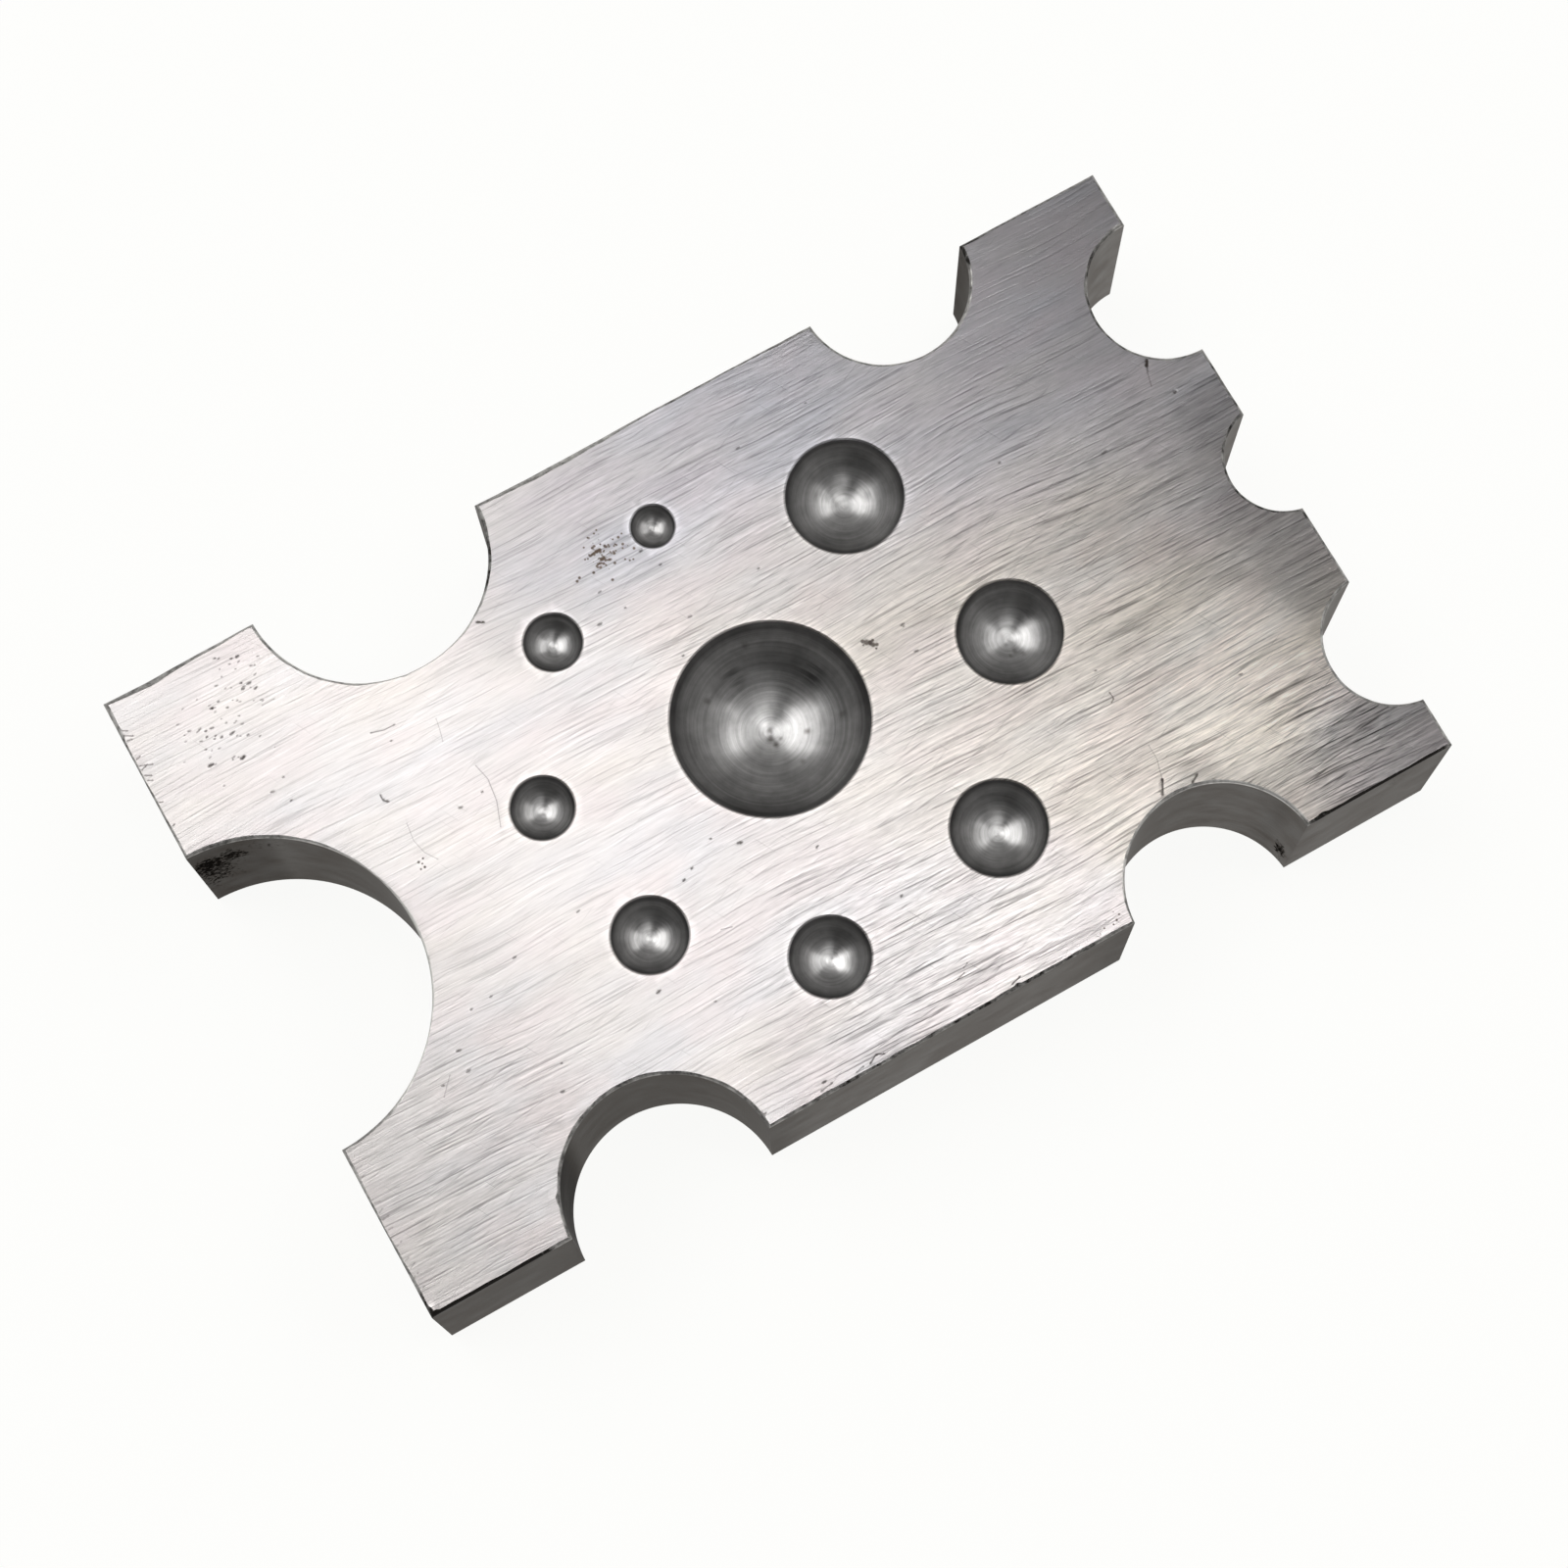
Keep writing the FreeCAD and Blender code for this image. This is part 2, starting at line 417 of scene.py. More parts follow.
def blended(places, table, otherwise):
    """Each place's value, blended from the nearest rows of a table of point, reach and value."""
    weights = np.full(len(places), PLAIN_WEIGHT)
    total = weights * otherwise
    for centre, reach, value in table:
        near = nearness(places, centre, reach)
        weights = weights + near
        total = total + near * value
    return total / weights


def sweep_of(centre, start, end):
    """The angles of a notch's arc: where it starts, and how far it turns clockwise."""
    first = math.atan2(start[1] - centre[1], start[0] - centre[0])
    last = math.atan2(end[1] - centre[1], end[0] - centre[0])
    return first, (first - last) % math.tau


def outline_runs(inset):
    """The outline's straight runs and arcs, anticlockwise, with this much taken off all round."""
    x, y = [half - inset for half in HALF]
    corners = [(-x, -y), (x, -y), (x, y), (-x, y)]
    runs = []
    for index, (side, (axis, sign, travel)) in enumerate(SIDES.items()):
        level = sign * (y, x)[axis]
        start = corners[index]
        for centre, radius in [notch[1:] for notch in NOTCHES if notch[0] == side]:
            grown = radius + inset
            reach = math.sqrt(grown ** 2 - (level - centre[1 - axis]) ** 2)
            ends = []
            for way in (-travel, travel):
                end = [level, level]
                end[axis] = centre[axis] + way * reach
                ends.append(tuple(end))
            runs.append(("straight", start, ends[0]))
            runs.append(("arc", centre, grown, *sweep_of(centre, *ends)))
            start = ends[1]
        runs.append(("straight", start, corners[(index + 1) % len(corners)]))
    return runs


def run_length(run):
    if run[0] == "arc":
        return run[2] * run[4]
    return math.dist(run[1], run[2])


def outline(inset):
    """The outline's points. However deep the inset is, they keep the same steps."""
    points = []
    for run, bare in zip(outline_runs(inset), outline_runs(0.0)):
        count = max(2, round(run_length(bare) / OUTLINE_STEP))
        for step in range(count):
            share = step / count
            if run[0] == "arc":
                _, centre, radius, first, sweep = run
                angle = first - sweep * share
                points.append((centre[0] + radius * math.cos(angle),
                               centre[1] + radius * math.sin(angle)))
            else:
                _, start, end = run
                points.append(tuple(start[k] + (end[k] - start[k]) * share for k in range(2)))
    return np.array(points)


def wobble(along, waves, seed):
    """A smooth uneven line between about -1 and 1."""
    draw = random.Random(seed)
    total = np.zeros(len(along))
    for wave in waves:
        stretched = wave * draw.uniform(0.8, 1.25)
        total += np.sin(along * math.tau / stretched + draw.uniform(0, math.tau))
    return total / len(waves)


def nearness(points, centre, reach):
    """1 at the centre, falling smoothly to 0 at the reach."""
    distance = np.linalg.norm(points - np.array(centre), axis=1)
    share = np.clip(1 - distance / reach, 0, 1)
    return share * share * (3 - 2 * share)


class Surface:
    """The plate's mesh while it grows: points, faces, and what each of them carries."""

    def __init__(self):
        self.points = []
        self.turn = []
        self.faces = []
        self.parts = []
        self.lay = []

    def add_points(self, points, turn=None):
        first = len(self.points)
        self.points.extend(tuple(float(c) for c in point) for point in points)
        if turn is None:
            turn = np.zeros((len(points), 3))
        self.turn.extend(tuple(float(c) for c in t) for t in turn)
        return list(range(first, len(self.points)))

    def add_face(self, corners, part, lay):
        self.faces.append(tuple(corners))
        self.parts.append(part)
        self.lay.extend(lay)

    def band(self, upper, lower, along, heights, part):
        """A closed band between two rows of points."""
        count = len(upper)
        for k in range(count):
            n = (k + 1) % count
            lay = [(along[k], heights[0]), (along[k], heights[1]),
                   (along[k + 1], heights[1]), (along[k + 1], heights[0])]
            self.add_face((upper[k], lower[k], lower[n], upper[n]), part, lay)


def triangles(rings, inner):
    """Triangles between closed rings of points, with points in between: rows of point numbers,
    counted through the rings and then the inner points."""
    coordinates = [Vector(point) for ring in rings for point in ring]
    edges = []
    for ring in rings:
        first = len(edges)
        edges.extend((first + k, first + (k + 1) % len(ring)) for k in range(len(ring)))
    ringed = len(coordinates)
    coordinates.extend(Vector(point) for point in inner)
    made, _, faces, origins, _, _ = delaunay_2d_cdt(coordinates, edges, [], 0, TOUCHING, True)
    number = [origin[0] for origin in origins]
    fixed = {tuple(sorted(edge)) for edge in edges}
    rows = []
    for face in faces:
        row = [number[k] for k in face]
        a, b, c = [coordinates[k] for k in row]
        if (b - a).cross(c - a) < 0:
            row.reverse()
        rows.append(row)
    # The rows that touch an inner point lie on the plate, and so does whatever can be reached
    # from them without crossing a ring
    sides = {}
    for index, row in enumerate(rows):
        for k in range(3):
            sides.setdefault(tuple(sorted((row[k], row[k - 1]))), []).append(index)
    waiting = [index for index, row in enumerate(rows) if max(row) >= ringed]
    kept = set(waiting)
    while waiting:
        row = rows[waiting.pop()]
        for k in range(3):
            side = tuple(sorted((row[k], row[k - 1])))
            if side in fixed:
                continue
            for other in sides[side]:
                if other not in kept:
                    kept.add(other)
                    waiting.append(other)
    return [rows[index] for index in sorted(kept)]


def clearance(x, y):
    """How far a point of the plate is from the nearest side or notch."""
    room = [HALF[0] - abs(x), HALF[1] - abs(y)]
    room.extend(math.dist((x, y), centre) - radius for _, centre, radius in NOTCHES)
    return min(room)


def cup_clearance(x, y):
    return min(math.dist((x, y), (cx, cy)) - radius - RIM_BEVEL for cx, cy, radius in CUPS)


class Spread:
    """Points that keep their distance from each other."""

    def __init__(self):
        self.points = []
        self.cells = {}

    def free(self, x, y, distance):
        reach = int(math.ceil(distance / FACE_STEP))
        column, row = int(x // FACE_STEP), int(y // FACE_STEP)
        for i in range(column - reach, column + reach + 1):
            for j in range(row - reach, row + reach + 1):
                for other in self.cells.get((i, j), []):
                    if math.dist(other, (x, y)) < distance:
                        return False
        return True

    def add(self, x, y, distance):
        if self.free(x, y, distance):
            self.points.append((x, y))
            self.cells.setdefault((int(x // FACE_STEP), int(y // FACE_STEP)), []).append((x, y))


def line_points(points):
    """Points along a line, with the way across it at each."""
    result = []
    for start, end in zip(points[:-1], points[1:]):
        length = np.linalg.norm(end - start)
        count = max(1, int(round(length / LINE_STEP)))
        across = np.array((start[1] - end[1], end[0] - start[0])) / length
        for k in range(count + 1):
            result.append((start + (end - start) * k / count, across))
    return result


def rings_round(place, half_width, rings):
    points = []
    for share, count, lean in rings:
        for k in range(count):
            angle = math.tau * k / count + lean
            points.append((place[0] + share * half_width * math.cos(angle),
                           place[1] + share * half_width * math.sin(angle)))
    return points


def mark_candidates():
    """The points that the marks need in order to show in the mesh."""
    candidates = []
    for points, half_width, _, _, _ in MARKS:
        if len(points) == 1:
            candidates.append(tuple(points[0]))
            candidates += rings_round(points[0], half_width, SPOT_RINGS)
            continue
        for end in (points[0], points[-1]):
            candidates += rings_round(end, half_width, END_RINGS)
        for place, across in line_points(points):
            candidates += [tuple(place + across * share * half_width) for share in LINE_ROWS]
    return candidates


def distance_to_line(places, points):
    """How far each place is from a line or a spot."""
    if len(points) == 1:
        return np.linalg.norm(places - points[0], axis=1)
    best = np.full(len(places), np.inf)
    for start, end in zip(points[:-1], points[1:]):
        way = end - start
        share = np.clip(((places - start) @ way) / (way @ way), 0, 1)
        nearest = start + share[:, None] * way
        best = np.minimum(best, np.linalg.norm(places - nearest, axis=1))
    return best


def mark_effects(places):
    """How deep, dark and rusty the marks leave each place of the face."""
    depth = np.zeros(len(places))
    dark = np.zeros(len(places))
    rust = np.zeros(len(places))
    for points, half_width, deep, darkness, rusty in MARKS:
        share = np.clip(1 - distance_to_line(places, points) / half_width, 0, 1)
        depth = np.maximum(depth, deep * share)
        strength = np.clip(share * MARK_SHARPNESS, 0, 1)
        dark = np.maximum(dark, darkness * strength)
        rust = np.maximum(rust, rusty * strength)
    return depth, dark, rust


def break_widths(bare, along):
    """The edge break's width at each point of the outline."""
    width = EDGE_BREAK * (1 + BREAK_UNEVEN * wobble(along, BREAK_WAVES, BREAK_SEED))
    for centre, reach, extra in WIDE_BREAKS:
        width += extra * nearness(bare, centre, reach)
    return np.clip(width, NARROWEST_BREAK, WIDEST_BREAK)


def add_walls(surface):
    """The sides with both edge breaks. Gives the rows of points that bound the two faces."""
    bare = outline(0.0)
    widest = outline(WIDEST_BREAK)
    steps = np.linalg.norm(np.roll(bare, -1, axis=0) - bare, axis=1)
    along = np.concatenate([[0.0], np.cumsum(steps)])
    widths = break_widths(bare, along[:-1])

    def row(width, share_in, height):
        inward = (widest - bare) / WIDEST_BREAK * (width * share_in)[:, None]
        return surface.add_points(np.column_stack([bare + inward, height]))

    plain = np.full(len(bare), EDGE_BREAK)
    upper = [row(widths, into, THICKNESS - widths * down) for into, down in BREAK_SECTION]
    lower = [row(plain, into, plain * down) for into, down in BREAK_SECTION]
    top = THICKNESS - widths
    walls = [upper[0]]
    for share in WALL_ROWS:
        walls.append(row(plain, 0.0, top + (plain - top) * share))
    walls.append(lower[0])
    for k in range(len(upper) - 1):
        near, far = EDGE_LAY * k, EDGE_LAY * (k + 1)
        surface.band(upper[k + 1], upper[k], along, (far, near), EDGE)
        surface.band(lower[k], lower[k + 1], along, (near, far), EDGE)
    heights = [1.0] + [1.0 - share for share in WALL_ROWS] + [0.0]
    for k in range(len(walls) - 1):
        surface.band(walls[k], walls[k + 1], along,
                     (heights[k] * THICKNESS, heights[k + 1] * THICKNESS), WALL)
    edge_points = [index for rows in (upper, lower) for r in rows for index in r]
    return upper[-1], lower[-1], edge_points, bare, widths


def add_cup(surface, index, x, y, radius):
    """A bowl with its bevelled mouth. Gives the mouth's outer ring."""
    depth = radius * CUP_DEPTH_RATIO
    ball = (radius ** 2 + depth ** 2) / (2 * depth)
    middle = THICKNESS - depth + ball
    rim = math.acos((middle - THICKNESS + RIM_BEVEL) / ball)
    around = max(FEWEST_AROUND, round(math.tau * radius / CUP_STEP_ROUND))
    down = max(FEWEST_DOWN, round(ball * rim / CUP_STEP))
    arcs = ball * rim * np.arange(down, 0, -1) / down
    uneven = wobble(arcs, RIPPLE_WAVES, RIPPLE_SEED + index) * RIPPLE
    pip = PIP_DEPTH * np.exp(-(arcs / PIP_REACH) ** 2)
    rings = [(radius + RIM_BEVEL, THICKNESS, ball * rim + RIM_BEVEL)]
    for arc, lift in zip(arcs, uneven - pip):
        angle = arc / ball
        reach = (ball + lift) * math.sin(angle)
        rings.append((reach, middle - (ball + lift) * math.cos(angle), arc))
    rows = []
    for reach, height, arc in rings:
        points = []
        turn = []
        for k in range(around):
            angle = math.tau * k / around
            c, s = math.cos(angle), math.sin(angle)
            points.append((x + reach * c, y + reach * s, height))
            turn.append((c + NOISE_APART * index, s, arc))
        rows.append(surface.add_points(points, turn))
    pole, = surface.add_points([(x, y, middle - ball)], [(NOISE_APART * index, 0.0, 0.0)])
    scale = radius / around * math.tau
    for outer, inner, (_, _, a), (_, _, b) in zip(rows, rows[1:], rings, rings[1:]):
        part = FACE if outer is rows[0] else CUP
        surface.band(inner, outer, np.arange(around + 1) * scale, (b, a), part)
    last, arc = rows[-1], rings[-1][2]
    for k in range(around):
        lay = [((k + 0.5) * scale, 0.0), (k * scale, arc), ((k + 1) * scale, arc)]
        surface.add_face((pole, last[k], last[(k + 1) % around]), CUP, lay)
    return rows[0]


def face_spread(bare, widths):
    """The points inside the face: close together at the marks, and an uneven grid elsewhere."""
    tree = KDTree(len(bare))
    for index, point in enumerate(bare):
        tree.insert((*point, 0.0), index)
    tree.balance()

    def inside(x, y, gap):
        room = clearance(x, y)
        if room < WIDEST_BREAK + gap:
            _, nearest, _ = tree.find((x, y, 0.0))
            if room < widths[nearest] * 1.05 + gap:
                return False
        return cup_clearance(x, y) > gap

    spread = Spread()
    for x, y in mark_candidates():
        if inside(x, y, MARK_GAP):
            spread.add(x, y, FINEST)
    columns = int(LENGTH / FACE_STEP)
    rows = int(WIDTH / FACE_STEP)
    for i in range(columns + 1):
        for j in range(rows + 1):
            x = -HALF[0] + (i + 0.5 * (j % 2) + rng.uniform(-JITTER, JITTER)) * FACE_STEP
            y = -HALF[1] + (j + rng.uniform(-JITTER, JITTER)) * FACE_STEP
            if inside(x, y, GRID_GAP):
                spread.add(x, y, GRID_SHARE * FACE_STEP)
    return spread.points


def underside_spread():
    """The points inside the underside: a coarse uneven grid."""
    spread = Spread()
    for i in range(int(LENGTH / UNDERSIDE_STEP) + 1):
        for j in range(int(WIDTH / UNDERSIDE_STEP) + 1):
            x = -HALF[0] + (i + rng.uniform(0.3, 0.7)) * UNDERSIDE_STEP
            y = -HALF[1] + (j + rng.uniform(0.3, 0.7)) * UNDERSIDE_STEP
            if clearance(x, y) > UNDERSIDE_GAP:
                spread.add(x, y, UNDERSIDE_GAP)
    return spread.points


def add_level(surface, rings, inner, height, part):
    """The face or the underside, between its rings of points and through the inner ones."""
    ring_rows = [[surface.points[index][:2] for index in ring] for ring in rings]
    numbers = [index for ring in rings for index in ring]
    numbers += surface.add_points([(x, y, height) for x, y in inner])
    for row in triangles(ring_rows, inner):
        corners = [numbers[k] for k in (row if part == FACE else reversed(row))]
        surface.add_face(corners, part, [surface.points[c][:2] for c in corners])


def coarseness(places):
    """How coarse the grinding is at each place."""
    coarse = COARSE_MOST * np.clip((places[:, 0] - COARSE_START) / COARSE_LENGTH, 0, 1)
    coarse = coarse * (1 - FINER_SHARE * nearness(places, *FINER_PATCH))
    for centre, reach, most in COARSE_PATCHES:
        coarse = np.maximum(coarse, most * nearness(places, centre, reach))
    return coarse


def cup_painted_light(places, x, y, radius):
    """Painted light in a cup at each place: painted shade that makes it darker near the rim and in
    the ring just inside it, a painted highlight that makes it lighter at the pole, and a painted
    highlight on the face beside the bevel.
    """
    reach = np.linalg.norm(places - (x, y), axis=1) / radius
    rim_painted_shade = RIM_PAINTED_SHADES[0] + (RIM_PAINTED_SHADES[1] - RIM_PAINTED_SHADES[0]) * min(1.0, radius / LARGE_CUP)
    painted_light = 1 + (rim_painted_shade - 1) * np.clip((reach - RIM_SHADE[0]) / RIM_SHADE[1], 0, 1)
    painted_light += POLE_PAINTED_HIGHLIGHT * np.exp(-(reach / POLE_REACH) ** 2)
    painted_light *= 1 - RIM_RING * np.clip((reach - RIM_RING_PLACE[0]) / RIM_RING_PLACE[1], 0, 1)
    painted_light[reach > 1.0] = LIP_PAINTED_HIGHLIGHT
    return painted_light


def block_mesh():
    add_marks()
    surface = Surface()
    face_ring, under_ring, edge_points, bare, widths = add_walls(surface)
    walls = slice(0, len(surface.points))
    cup_rings = []
    cup_parts = []
    for index, cup in enumerate(CUPS):
        first = len(surface.points)
        cup_rings.append(add_cup(surface, index, *cup))
        cup_parts.append(slice(first, len(surface.points)))
    face_start = len(surface.points)
    add_level(surface, [face_ring] + cup_rings, face_spread(bare, widths), THICKNESS, FACE)
    face_end = len(surface.points)
    add_level(surface, [under_ring], underside_spread(), 0.0, UNDERSIDE)

    points = np.array(surface.points)
    places = points[:, :2].copy()
    depth, dark, rust = mark_effects(places)
    points[face_start:face_end, 2] -= depth[face_start:face_end]
    ground = np.zeros(len(points), bool)
    ground[face_start:face_end] = True
    ground[face_ring] = True
    dark[~ground] = 0.0
    rust[~ground] = 0.0

    # Grime on the edge breaks, with painted shade where they reflect dark surroundings
    grime_and_shade = np.zeros(len(points))
    grime_and_shade[edge_points] = blended(places[edge_points], EDGE_DARKNESS, PLAIN_DARKNESS)
    for centre, reach, darkness in WALL_STAINS:
        near = nearness(points[walls], centre, reach)
        dark[walls] = np.maximum(dark[walls], darkness * near)
    # Painted light and shade: the colour is made lighter or darker where light and shade fall on
    # the walls, the face and the cups
    painted_light = blended(places, WALL_PAINTED_LIGHT, 1.0)
    painted_light[ground] = blended(places[ground], FACE_PAINTED_LIGHT, 1.0)
    painted_light[face_end:] = 1.0
    painted_light[under_ring] = 1.0
    for cup, part in zip(CUPS, cup_parts):
        painted_light[part] = cup_painted_light(places[part], *cup)
    warmth = blended(places, FACE_WARMTHS, PLAIN_WARMTH)
    warmth[face_end:] = PLAIN_WARMTH
    chatter = np.zeros(len(points))
    for table, values in ((CHATTER, chatter), (CUP_STAINS, dark)):
        for index, (across, up), reach, strength in table:
            x, y, _ = CUPS[index]
            part = cup_parts[index]
            near = nearness(places[part], (x + across, y + up), reach)
            values[part] = np.maximum(values[part], strength * near)

    mesh = bpy.data.meshes.new("dapping_block_steel")
    mesh.from_pydata([tuple(point * MM) for point in points], [], surface.faces)
    mesh.polygons.foreach_set("material_index", surface.parts)
    mesh.polygons.foreach_set("use_smooth", [True] * len(surface.faces))
    layer = mesh.uv_layers.new(name="lay")
    layer.data.foreach_set("uv", (np.array(surface.lay) * LAY_SCALE).ravel())
    numbers = {"dark": dark, "rust": rust, "grime_and_shade": grime_and_shade, "coarse": coarseness(places),
               "painted_light": painted_light, "warmth": warmth, "chatter": chatter}
    for name, values in numbers.items():
        mesh.attributes.new(name, "FLOAT", "POINT").data.foreach_set("value", values)
    turn = mesh.attributes.new("turn", "FLOAT_VECTOR", "POINT")
    turn.data.foreach_set("vector", np.array(surface.turn).ravel())
    mesh.set_sharp_from_angle(angle=SHARP)
    mesh.update()
    return mesh


# Materials

# The range that most of a noise's values lie in
NOISE_RANGE = (0.3, 0.7)

# How fast, in cells to the millimetre along and across, each layer of the grinding changes
DRIFT = (0.055, 0.09, 0.05)
FINE = (0.12, 5.0, 1.0)
FINEST_LINES = (0.7, 7.5, 1.0)
MEDIUM = (0.08, 1.9, 1.0)
BROAD = (0.03, 0.35, 1.0)
SPREAD = (0.08, 4.4, 1.0)
BRIGHT = (0.1, 5.2, 1.0)
SCORES = (0.12, 4.8, 1.0)
STRAYS = (0.22, 4.6, 1.0)
CROSSING = (0.3, 5.0, 1.0)
SLANTING = (0.26, 4.6, 1.0)
TINT = (0.05, 0.14, 1.0)
PINK = (0.11, 0.2, 1.0)

# Colours: what marks are filled with, rust, and what the cool and the warm steel are tinted by
MARK_COLOUR = (0.05, 0.04, 0.036, 1)
RUST_COLOUR = (0.15, 0.105, 0.075, 1)
COOL_TINT = (0.97, 0.985, 1.07, 1)
WARM_TINT = (1.035, 0.995, 0.925, 1)
CUP_COLOUR = (0.28, 0.276, 0.272)
# The sides' colours and tint: darker than the face's steel, partly painted shade for the dark
# surroundings that the sides reflect
WALL_COLOURS_WITH_SHADE = ((0.178, 0.169, 0.163, 1), (0.225, 0.22, 0.215, 1))
WALL_TINT_WITH_SHADE = (0.28, 0.27, 0.26, 1)
WALL_MARK_COLOUR = (0.02, 0.018, 0.017, 1)
BARE_EDGE_COLOUR = (0.55, 0.54, 0.52, 1)
# Nearly black edges: grime, and painted shade where the edges reflect dark surroundings
GRIME_AND_SHADE_EDGE_COLOUR = (0.022, 0.02, 0.018, 1)

# The ground faces: how light, how rough and how strongly drawn out their shine is
FACE_FINISH = (0.52, 0.278, 0.85)
UNDERSIDE_FINISH = (0.5, 0.42, 0.7)


def add_object(name, data):
    made = bpy.data.objects.new(name, data)
    bpy.context.scene.collection.objects.link(made)
    return made


def grey(level, red, green, blue):
    return level * red, level * green, level * blue, 1


class Tree:
    """The nodes of a material or the world, added one by one."""

    def __init__(self, owner):
        owner.use_nodes = True
        self.owner = owner
        self.nodes = owner.node_tree.nodes
        self.links = owner.node_tree.links
        self.shader = self.nodes.get("Principled BSDF")

    def add(self, kind, inputs=None, **settings):
        node = self.nodes.new("ShaderNode" + kind)
        for name, value in settings.items():
            setattr(node, name, value)
        for key, value in (inputs or {}).items():
            self.feed(node.inputs[key], value)
        return node

    def feed(self, socket, value):
        if isinstance(value, bpy.types.NodeSocket):
            self.links.new(value, socket)
        elif isinstance(value, bpy.types.Node):
            self.links.new(value.outputs[0], socket)
        else:
            socket.default_value = value

    def math(self, operation, a, b=0.0, clamp=False):
        return self.add("Math", {0: a, 1: b}, operation=operation, use_clamp=clamp)

    def plus(self, a, b, share, clamp=False):
        return self.math("ADD", a, self.times(b, share), clamp)

    def times(self, value, *factors):
        for factor in factors:
            value = self.math("MULTIPLY", value, factor)
        return value

    def attribute(self, name, output="Fac"):
        return self.add("Attribute", attribute_name=name).outputs[output]

    def place(self):
        """The place on the object, in millimetres."""
        coordinates = self.add("TexCoord").outputs["Object"]
        return self.add("VectorMath", {0: coordinates, "Scale": 1 / MM}, operation="SCALE")

    def noise(self, vector, stretch, detail=2.0, roughness=0.55, turn=0.0):
        """Noise with this many cells to the millimetre along each axis, turned by some degrees."""
        mapped = self.add("Mapping", {"Vector": vector, "Rotation": (0, 0, math.radians(turn))})
        sized = self.add("VectorMath", {0: mapped, 1: stretch}, operation="MULTIPLY")
        return self.add("TexNoise", {"Vector": sized, "Scale": 1.0, "Detail": detail,
                                     "Roughness": roughness})

    def ramp(self, value, low, high, to_low=0.0, to_high=1.0):
        return self.add("MapRange", {"Value": value, "From Min": low, "From Max": high,
                                     "To Min": to_low, "To Max": to_high})

    def level(self, noise, low=0.0, high=1.0):
        """Noise brought to a range of its own."""
        return self.ramp(noise, *NOISE_RANGE, low, high)

    def mix(self, factor, a, b):
        node = self.add("Mix", data_type="RGBA")
        self.feed(node.inputs["Factor"], factor)
        self.feed(node.inputs[6], a)
        self.feed(node.inputs[7], b)
        return node.outputs[2]

    def bump(self, height, distance):
        return self.add("Bump", {"Height": height, "Distance": distance * MM, "Strength": 1.0})

    def set(self, **inputs):
        for name, value in inputs.items():
            self.feed(self.shader.inputs[name.replace("_", " ")], value)


